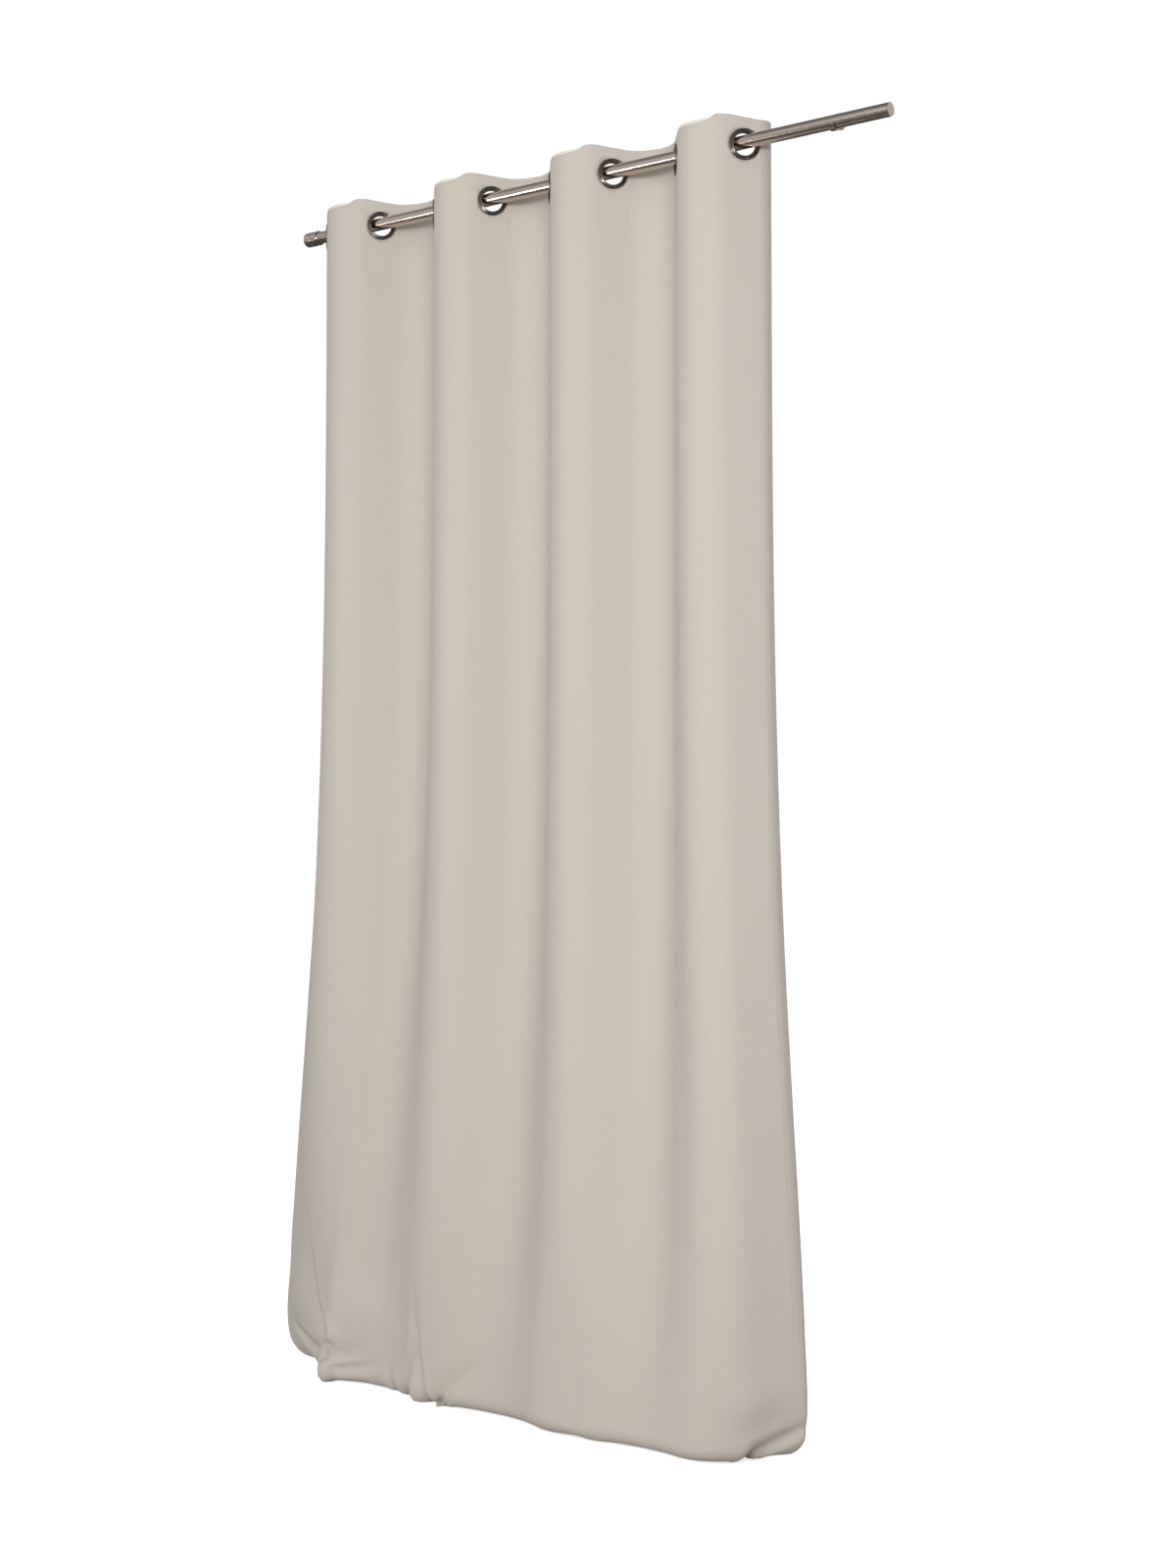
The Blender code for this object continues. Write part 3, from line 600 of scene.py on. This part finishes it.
# each crease pushes the cloth in along its line, and lifts it a little beside a sunken one
for half_width, softer, line in CREASES:
    nearest = np.full(here.shape[:2], 1.0)
    pushed = np.zeros(here.shape[:2])
    for start, end in zip(np.array(line), np.array(line[1:] or line)):
        run = (end - start)[:2]
        off = here - start[:2]
        share = np.clip(off @ run / max(run @ run, 1e-9), 0, 1)
        wide = np.where(run[0] * off[..., 1] > run[1] * off[..., 0], softer, 1.0) * half_width
        apart = np.linalg.norm(off - share[..., None] * run, axis=2) / wide
        depth = start[2] + (end[2] - start[2]) * share
        closer = apart < nearest / half_width
        nearest = np.where(closer, apart * half_width, nearest)
        profile = np.exp(-(apart**2)) - 0.25 * np.exp(-((apart - 1.9) ** 2)) * (depth > 0)
        pushed = np.where(closer, depth * profile, pushed)
    points[low:] -= pushed[..., None] * outward[low:]
points[:, :, 2] = np.maximum(points[:, :, 2], floor_z + CLOTH)
mesh, _ = grid_mesh("curtain", points)
curtain = bpy.data.objects.new("curtain", mesh)
bpy.context.scene.collection.objects.link(curtain)

# how far each row lies down the cloth, from the header's back edge. It is measured along one column,
# and its last value is the sheet's flat length. Other columns are up to 2% longer or shorter.
MEASURED_COLUMN = 20
steps_down = np.diff(points[:, MEASURED_COLUMN], axis=0)
down = np.concatenate([[0], np.cumsum(np.linalg.norm(steps_down, axis=1))])
layer = mesh.uv_layers.new(name="cloth_metres")
loops = np.zeros(len(mesh.loops), int)
mesh.loops.foreach_get("vertex_index", loops)
uv = np.stack([along[loops % (COLUMNS + 1)], down[loops // (COLUMNS + 1)]], axis=-1)
layer.data.foreach_set("uv", uv.astype(np.float32).ravel())

# The eyelet holes are cut larger than the barrels, since they narrow as the cloth is drawn back, and
# still lie under the rims. Fully drawn, their sides press into the barrels there.
HOLE_RADIUS = 0.0279
bm = bmesh.new()
bm.from_mesh(mesh)
for n, centre in enumerate(eyelets):
    turn = EYELET_ANGLE if n % 2 else -EYELET_ANGLE
    u = Vector((math.cos(turn), math.sin(turn), 0))
    inside = []
    for face in bm.faces:
        off = face.calc_center_median() - centre
        if abs(off.z) < 0.04 and abs(off.x) < 0.05:
            if math.hypot(off.dot(u), off.z) < HOLE_RADIUS:
                inside.append(face)
    edge_points = {v for f in inside for v in f.verts}
    bmesh.ops.delete(bm, geom=inside, context="FACES")
    for v in edge_points:
        if v.is_valid and v.link_faces:
            off = v.co - centre
            a, b = off.dot(u), off.z
            grow = HOLE_RADIUS / max(math.hypot(a, b), 1e-6)
            v.co += u * (a * grow - a) + Vector((0, 0, b * grow - b))
bmesh.ops.delete(bm, geom=[v for v in bm.verts if not v.link_faces], context="VERTS")
bm.to_mesh(mesh)
bm.free()
thick = curtain.modifiers.new("cloth thickness", "SOLIDIFY")
thick.thickness = CLOTH
thick.offset = 0
bpy.context.view_layer.objects.active = curtain
curtain.select_set(True)
bpy.ops.object.modifier_apply(modifier=thick.name)
curtain.data.shade_smooth()

# matt polyester scatters light evenly, so the eye gets soft shade from the folds and no highlight
CLOTH_COLOUR = "#CAC1B8"
CLOTH_SHADE = "#C5BCB3"
THREAD_MM = 1.0  # the real threads are about half as wide
SLUB_MM = (3.0, 40.0)  # an uneven stretch of yarn, across and down
SIDE_HEM = 0.022
PUCKER_MM = 4.5
# how strongly the cloth is puckered, by metres down the cloth from the header's back edge
PUCKERED = [(0.0, 0.0), (0.13, 0.1), (0.17, 1.0), (0.22, 0.8), (0.33, 0.0)]


def woven(name, light, dark):
    """Matt woven polyester: fine plain weave with soft uneven yarn, and almost no gloss."""
    made, shader = new_material(name)
    tree = made.node_tree
    place = node(tree, "ShaderNodeUVMap", {"uv_map": "cloth_metres"})
    slub = node(
        tree,
        "ShaderNodeMapping",
        Vector=place.outputs[0],
        Scale=(1000 / SLUB_MM[0], 1000 / SLUB_MM[1], 1.0),
    )
    uneven = node(tree, "ShaderNodeTexNoise", Vector=slub.outputs[0], Scale=1.0, Detail=4.0)
    weave = node(
        tree,
        "ShaderNodeTexWave",
        {"wave_type": "BANDS", "bands_direction": "X"},
        Vector=place.outputs[0],
        Scale=1000 / THREAD_MM / math.tau,
    )
    tone = node(
        tree,
        "ShaderNodeMix",
        {"data_type": "RGBA"},
        Factor=uneven.outputs[0],
        A=linear(dark),
        B=linear(light),
    )
    # puckers under the header's stitching, and the stitched line of each side hem
    where = node(tree, "ShaderNodeSeparateXYZ", Vector=place.outputs[0])
    pucker = node(
        tree,
        "ShaderNodeTexNoise",
        {"noise_dimensions": "1D"},
        W=where.outputs["X"],
        Scale=1000 / PUCKER_MM,
        Detail=1.0,
    )
    strength = node(tree, "ShaderNodeValToRGB", Fac=where.outputs["Y"])
    while len(strength.color_ramp.elements) < len(PUCKERED):
        strength.color_ramp.elements.new(0.5)
    for stop, (at, share) in zip(strength.color_ramp.elements, PUCKERED):
        stop.position = at
        stop.color = (share, share, share, 1)
    gathered = node(
        tree,
        "ShaderNodeMath",
        {"operation": "MULTIPLY"},
        i0=pucker.outputs[0],
        i1=strength.outputs[0],
    )
    gathers = node(tree, "ShaderNodeBump", Height=gathered.outputs[0], Strength=0.6, Distance=0.0012)
    from_edge = node(tree, "ShaderNodeMath", {"operation": "PINGPONG"}, i0=where.outputs["X"])
    from_edge.inputs[1].default_value = panel_width / 2
    off_line = node(
        tree, "ShaderNodeMath", {"operation": "SUBTRACT"}, i0=from_edge.outputs[0], i1=SIDE_HEM
    )
    away = node(tree, "ShaderNodeMath", {"operation": "ABSOLUTE"}, i0=off_line.outputs[0])
    stitched = node(tree, "ShaderNodeMapRange", Value=away.outputs[0], From_Max=0.0022)
    seam = node(
        tree,
        "ShaderNodeBump",
        Height=stitched.outputs[0],
        Normal=gathers.outputs[0],
        Strength=0.5,
        Distance=0.0007,
    )
    threads = node(
        tree,
        "ShaderNodeBump",
        Height=weave.outputs[0],
        Normal=seam.outputs[0],
        Strength=0.12,
        Distance=0.0002,
    )
    relief = node(
        tree,
        "ShaderNodeBump",
        Height=uneven.outputs[0],
        Normal=threads.outputs[0],
        Strength=0.3,
        Distance=0.0004,
    )
    tree.links.new(tone.outputs[2], shader.inputs["Base Color"])
    tree.links.new(relief.outputs[0], shader.inputs["Normal"])
    shader.inputs["Roughness"].default_value = 0.85
    shader.inputs["Specular IOR Level"].default_value = 0.25
    shader.inputs["Sheen Weight"].default_value = 0.15
    shader.inputs["Sheen Roughness"].default_value = 0.5
    return made


cloth_material = woven("polyester_woven_matt", CLOTH_COLOUR, CLOTH_SHADE)
curtain.data.materials.append(cloth_material)
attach(curtain, "fold_1")
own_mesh(curtain)
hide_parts(*[f"curtain_fold_{n}" for n in range(1, 9)])


# The header tape: a strip of buckram, which is cotton stiffened with starch, sewn into the header's
# pocket. It keeps the header upright, and the eyelets are punched through it.
TAPE = 0.0008
TAPE_ROWS = 14
TAPE_HOLE_WIDER = 0.004  # than the cloth's, so that the tape keeps clear of the barrels
strip = np.zeros((TAPE_ROWS, COLUMNS + 1, 3))
tape_bottom, tape_top = header_bottom + 0.002, header_top - CLOTH - 0.001
x, y, _ = drape(0.0)
for r, z in enumerate(np.linspace(tape_bottom, tape_top, TAPE_ROWS)):
    strip[r, :, 0] = x
    strip[r, :, 1] = y
    strip[r, :, 2] = z
mesh, _ = grid_mesh("header_tape", strip[:, 1:-1])
tape = bpy.data.objects.new("header_tape", mesh)
bpy.context.scene.collection.objects.link(tape)
thick = tape.modifiers.new("tape thickness", "SOLIDIFY")
thick.thickness = TAPE
thick.offset = 0
bm = bmesh.new()
bm.from_mesh(mesh)
for centre in eyelets:
    reach = HOLE_RADIUS + TAPE_HOLE_WIDER
    inside = [f for f in bm.faces if (f.calc_center_median() - centre).length < reach]
    bmesh.ops.delete(bm, geom=inside, context="FACES")
bm.to_mesh(mesh)
bm.free()
bpy.context.view_layer.objects.active = tape
bpy.ops.object.modifier_apply(modifier=thick.name)
# stiffened cotton reads as a flat off-white board with a faint open weave
buckram, shader = new_material("buckram_stiffened_cotton")
tree = buckram.node_tree
place = node(tree, "ShaderNodeTexCoord")
grain = node(tree, "ShaderNodeTexNoise", Vector=place.outputs["Object"], Scale=1000.0, Detail=2.0)
tone = node(
    tree,
    "ShaderNodeMix",
    {"data_type": "RGBA"},
    Factor=grain.outputs[0],
    A=linear("#DDD7CA"),
    B=linear("#EDE9E0"),
)
tree.links.new(tone.outputs[2], shader.inputs["Base Color"])
shader.inputs["Roughness"].default_value = 0.85
tape.data.materials.append(buckram)
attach(tape, "fold_1")
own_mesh(tape)
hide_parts(*[f"header_tape_{n}" for n in range(1, 9)])


# The eyelets: two spun brass halves each, plated in dark nickel and polished, snapped together
# through the header.
BORE = 0.020735
RIM = 0.029035
FACE = 0.0022
CROWN = 0.0048
# The rod crosses each eyelet on the slant, so a deeper back half or a longer barrel would run into it.
BACK_CROWN = 0.0075
BARREL_END = 0.0042
BARREL_LIP = 0.0012  # the barrel's last part, where its inner edge is eased
LIP_IN = 0.0004
BARREL = 0.0012
HALVES_APART = 0.0003  # between the barrel and the back half around it
BACK_FACE_FROM = 0.0004  # beyond the barrel, where the back half's face starts
ROUND_STEPS = 96


def turned_ring(name, outline):
    """A closed ring, turned about Z from an outline of (radius, height) points."""
    count = len(outline)
    angles = np.arange(ROUND_STEPS) * math.tau / ROUND_STEPS
    points = [(r * math.cos(a), r * math.sin(a), h) for a in angles for r, h in outline]
    faces = []
    for i in range(ROUND_STEPS):
        j = (i + 1) % ROUND_STEPS
        for k in range(count):
            m = (k + 1) % count
            faces.append((i * count + k, j * count + k, j * count + m, i * count + m))
    mesh = bpy.data.meshes.new(name)
    mesh.from_pydata(points, [], faces)
    mesh.shade_smooth()
    return mesh


def rim_outline():
    """The face's section, from the outer rim: a round bead, a shallow groove and a roll to the bore."""
    width = RIM - BORE
    shape = [(1.0, 0.0), (0.998, 0.3), (0.975, 0.58), (0.93, 0.80), (0.87, 0.93), (0.80, 0.99)]
    shape += [(0.73, 1.0), (0.66, 0.95), (0.60, 0.85), (0.55, 0.75), (0.50, 0.70), (0.45, 0.71)]
    shape += [(0.40, 0.77), (0.33, 0.84), (0.26, 0.86), (0.19, 0.82), (0.12, 0.70), (0.06, 0.50)]
    shape += [(0.02, 0.25), (0.0, 0.0)]
    return [(BORE + width * r, FACE + (CROWN - FACE) * h) for r, h in shape]


front_outline = rim_outline() + [
    (BORE, -BARREL_END + BARREL_LIP),
    (BORE + LIP_IN, -BARREL_END),
    (BORE + BARREL, -BARREL_END),
    (BORE + BARREL, FACE),
]
deeper = (BACK_CROWN - FACE) / (CROWN - FACE)
back_outline = [(r, -FACE - (h - FACE) * deeper) for r, h in rim_outline()]
back_outline = [p for p in back_outline if p[0] > BORE + BARREL + BACK_FACE_FROM]
back_outline.append((BORE + BARREL + HALVES_APART, -FACE))
for n, centre in enumerate(eyelets):
    turn = EYELET_ANGLE if n % 2 else -EYELET_ANGLE
    out = Vector((math.sin(turn), -math.cos(turn), 0))
    along_cloth = Vector((math.cos(turn), math.sin(turn), 0))
    up = out.cross(along_cloth)
    place = Matrix((along_cloth, up, out)).transposed().to_4x4()
    for half_name, outline in (("front", front_outline), ("back", back_outline)):
        mesh = turned_ring(f"eyelet_{half_name}_ring_{n + 1}", outline)
        ring = bpy.data.objects.new(mesh.name, mesh)
        bpy.context.scene.collection.objects.link(ring)
        ring.matrix_world = Matrix.Translation(centre) @ place
        bm = bmesh.new()
        bm.from_mesh(mesh)
        bmesh.ops.recalc_face_normals(bm, faces=bm.faces)
        bm.to_mesh(mesh)
        bm.free()
        mesh.materials.append(dark_nickel)
        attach(ring, f"eyelet_{n + 1}")
        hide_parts(f"eyelet_{half_name}_{n + 1}")
